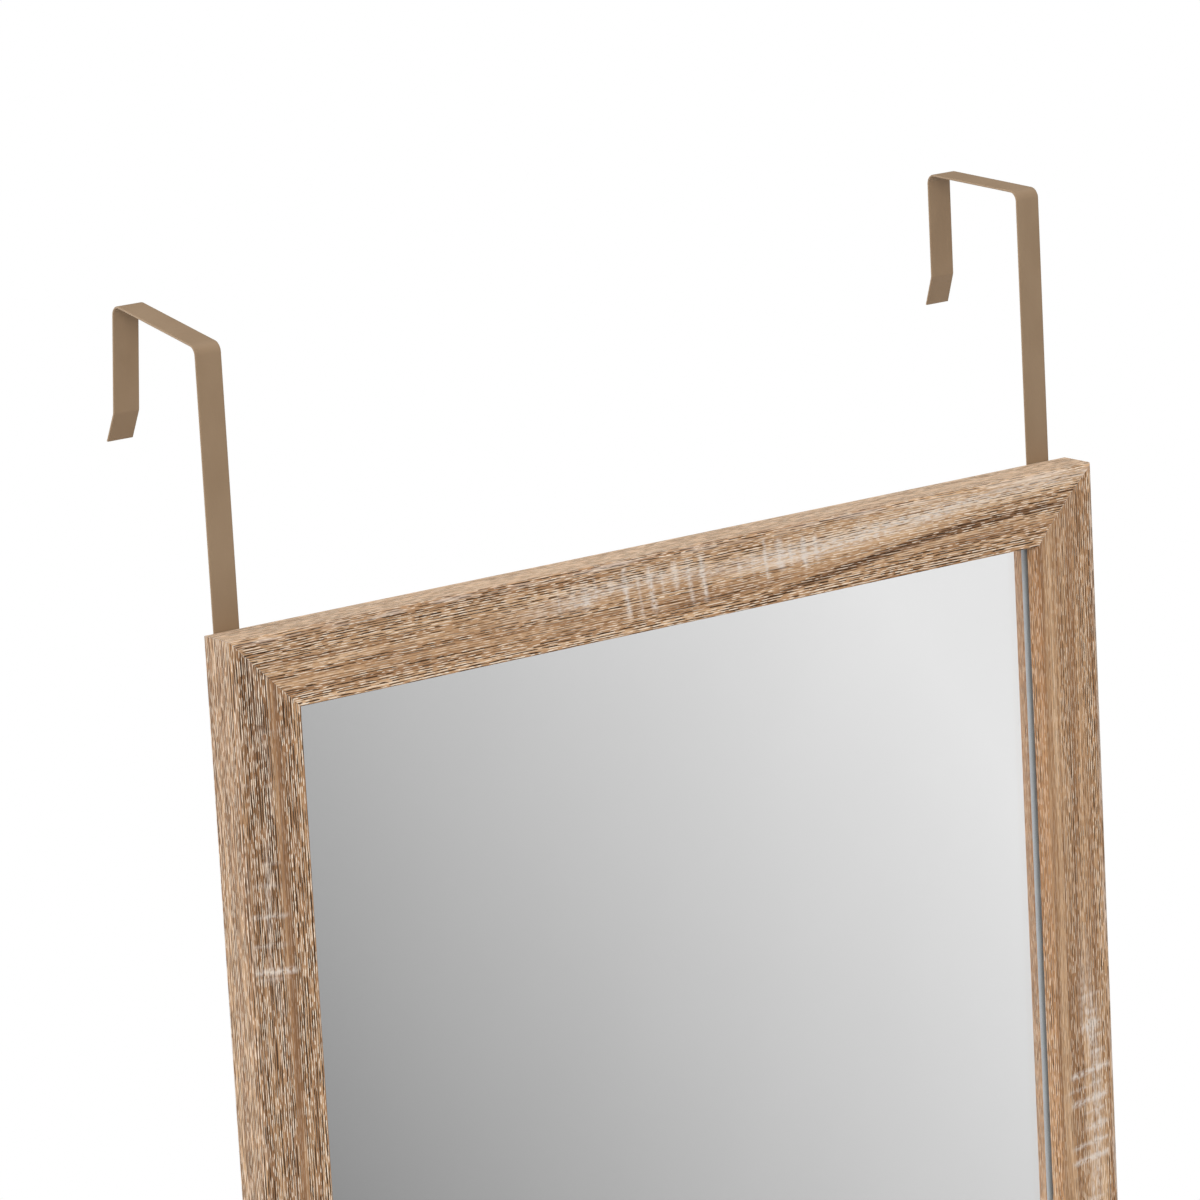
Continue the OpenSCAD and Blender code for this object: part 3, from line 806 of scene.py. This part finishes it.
# A profile of (radius, height) turned about the bumper's axis: up the tapered wall, round the rim and
# in to a shallow dimple.
def makeBumper(side):
    s = bumperShape
    low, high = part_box("bumper_" + side)
    centre = (low + high) / 2
    rimCentre = (s["faceRadius"] - s["rim"], s["height"] - s["rim"])
    rim = arc(rimCentre, s["rim"], s["wallSlant"], 90, s["rimSteps"])
    share = np.linspace(1, s["hub"], s["faceRings"])[:, None]
    dished = s["height"] - s["dimple"] * (1 - share ** 2)
    face = np.hstack([(s["faceRadius"] - s["flatInset"]) * share, dished])
    profile = np.concatenate([[[s["radius"], 0.0]], rim, face])
    turn = np.linspace(0, math.tau, s["sides"], endpoint=False)
    x = centre.x + profile[:, None, 0] * np.cos(turn) * mm
    z = centre.z + profile[:, None, 0] * np.sin(turn) * mm
    y = np.broadcast_to(low.y + profile[:, None, 1] * mm, x.shape)
    piece = solidFrom(side + "Bumper", *loft(np.stack([x, y, z], -1)), [rubber])
    settle(piece, "soft_rubber", "frame", "bumper_" + side)


for side in ("left", "right"):
    makeBumper(side)
say("bumpers turned")


# --- nodes that stay ---

def dress(finish, *names):
    for name in names:
        for holder in nodes[name].material_slots:
            holder.material = finish


dress(silvering(), "silver_coat")
dress(hardboard(), "backing_board")
dress(zinc, "left_hanger_screws", "right_hanger_screws",
      *[name for name in nodes if name.startswith(("nails_", "points_"))])
say("nodes dressed")


# --- studio ---

# Turns are in degrees to the right of straight ahead, rises in degrees above level; backFrom and rimFrom
# are parts of the direction itself.
studio = dict(
    ambient=0.42, backdrop=(1.0, 1.0, 1.0, 1.0), flagAt=27.0,
    grey=0.66, greyAt=(35.0, -12.0), greyPerTurn=0.065, greyPerRise=0.0414, greyRange=(0.25, 0.84),
    softbox=0.7, softboxFrom=(28.0, 55.0), glow=1.2, glowTurn=(-5.0, -20.0),
    backFrom=(0.1, 0.5), backBelow=(60.0, 35.0), backDim=0.8, rim=1.6, rimFrom=(-0.25, -0.5),
)
floorLook = dict(
    tone=(0.86, 0.86, 0.86, 1.0), fleck=(0.88, 0.88, 0.88, 1.0), fleckPeriod=(40.0, 40.0),
    drop=0.001, halfSize=6.0, tiles=24, fade=(1.0, 2.6),
)
lamps = dict(
    key=dict(place=(-2.2, -2.4, 1.6), aim=(0.0, 0.0, -0.35), size=(1.6, 2.2), power=71.0),
    top=dict(place=(0.2, -0.6, 1.6), aim=(0.0, 0.0, -0.2), size=(1.6, 1.2), power=7.5),
    fill=dict(place=(2.6, -2.2, 0.2), aim=(0.0, 0.0, -0.6), size=(1.6, 2.4), power=15.0),
    side=dict(place=(-2.6, 0.3, 0.4), aim=(0.0, 0.0, -0.3), size=(1.0, 2.0), power=12.0),
    back=dict(place=(0.8, 2.8, -0.5), aim=(0.0, 0.0, -0.6), size=(2.0, 1.4), power=32.0),
)


# White to the camera, and one even grey as light on matt things. In reflections it is a grey that rises
# upwards and to both sides of the flag, with a softbox overhead, a glow from the left, a rim from the
# back left, and a darker back up to the height of backBelow.
def makeWorld():
    s = studio
    world = bpy.data.worlds.new("studio")
    bpy.context.scene.world = world
    g = Graph(world)
    x, y, z = g.split(Wire(g, g.add("ShaderNodeTexCoord").outputs["Generated"]))
    turn = g.sum("ARCTAN2", x, y * -1) * math.degrees(1)
    lift = g.sum("ARCSINE", z) * math.degrees(1)
    fromFlag = abs(turn - s["flagAt"]) + s["flagAt"]
    turnAt, liftAt = s["greyAt"]
    grey = s["grey"] + (fromFlag - turnAt) * s["greyPerTurn"] + (lift - liftAt) * s["greyPerRise"]
    behind = y.smooth(*s["backFrom"])
    rim = behind * x.smooth(*s["rimFrom"])
    dim = (behind - rim) * lift.smooth(*s["backBelow"]) * s["backDim"]
    grey = grey.clamp(*s["greyRange"]) * (1 - dim) + rim * s["rim"]
    grey = grey + lift.smooth(*s["softboxFrom"]) * s["softbox"]
    grey = grey + turn.smooth(*s["glowTurn"]) * s["glow"]
    rays = g.add("ShaderNodeLightPath").outputs
    seen = g.mix(Wire(g, rays["Is Camera Ray"]), grey, s["backdrop"])
    light = g.mix(Wire(g, rays["Is Diffuse Ray"]), seen, (s["ambient"],) * 3 + (1.0,))
    g.finish(g.wire("ShaderNodeBackground", {}, {0: light}), "ShaderNodeOutputWorld")


# a pale floor that fades out all round, and isn't there when seen from below
def makeFloor():
    look = floorLook
    half, tiles = look["halfSize"], look["tiles"]
    steps = np.linspace(-half, half, tiles + 1)
    x, y = np.meshgrid(steps, steps, indexing="ij")
    vertices = np.stack([x, y, np.full_like(x, frameLow.z - look["drop"])], -1).reshape(-1, 3)
    j, i = np.meshgrid(np.arange(tiles), np.arange(tiles), indexing="ij")
    corner = (j * (tiles + 1) + i).ravel()
    faces = np.stack([corner, corner + tiles + 1, corner + tiles + 2, corner + 1], 1).tolist()
    made, g = material("paleFloor")
    px, py, _ = g.place()
    radius = g.sum("SQRT", px * px + py * py) / 1000
    periodX, periodY = look["fleckPeriod"]
    flecks = g.noise(px / periodX, py / periodY, 0.0, 3.0)
    colour = g.mix(flecks, look["tone"], look["fleck"])
    dull = {"Base Color": colour, "Roughness": 1.0, "Specular IOR Level": 0.0}
    matt = g.wire("ShaderNodeBsdfPrincipled", {}, dull)
    nothing = g.wire("ShaderNodeBsdfTransparent")
    under = Wire(g, g.add("ShaderNodeNewGeometry").outputs["Backfacing"])
    gone = g.sum("MAXIMUM", radius.smooth(*look["fade"]), under)
    g.finish(g.wire("ShaderNodeMixShader", {}, {0: gone, 1: matt, 2: nothing}))
    mesh = bpy.data.meshes.new("floor")
    mesh.from_pydata(vertices.tolist(), [], faces)
    mesh.materials.append(made)
    floor = addObject("floor", mesh)


# stands a lamp or the camera at its place, turned to look at its aim
def aimAt(thing, place, aim, roll=0.0):
    thing.location = place
    thing.rotation_mode = "QUATERNION"
    facing = (Vector(aim) - Vector(place)).to_track_quat("-Z", "Y")
    thing.rotation_quaternion = facing @ Quaternion((0, 0, 1), math.radians(roll))


makeWorld()
makeFloor()
for name, lamp in lamps.items():
    data = bpy.data.lights.new(name, "AREA")
    data.shape, data.energy = "RECTANGLE", lamp["power"]
    data.size, data.size_y = lamp["size"]
    holder = addObject(name, data)
    holder.visible_glossy = holder.visible_camera = holder.visible_transmission = False
    aimAt(holder, lamp["place"], lamp["aim"])

photoView = dict(
    place=(-1.25083, -1.71262, 0.36332), aim=(-0.02949, -0.0102, -0.10433), roll=-3.123,
    lens=199.487, sensor=36.0, clip=(0.05, 60.0),
)
camera = addObject("camera", bpy.data.cameras.new("camera"))
camera.data.lens, camera.data.sensor_width = photoView["lens"], photoView["sensor"]
camera.data.clip_start, camera.data.clip_end = photoView["clip"]
aimAt(camera, photoView["place"], photoView["aim"], photoView["roll"])
bpy.context.scene.camera = camera
bpy.context.scene.view_settings.view_transform = "Standard"
say("studio lit")

bpy.context.view_layer.update()
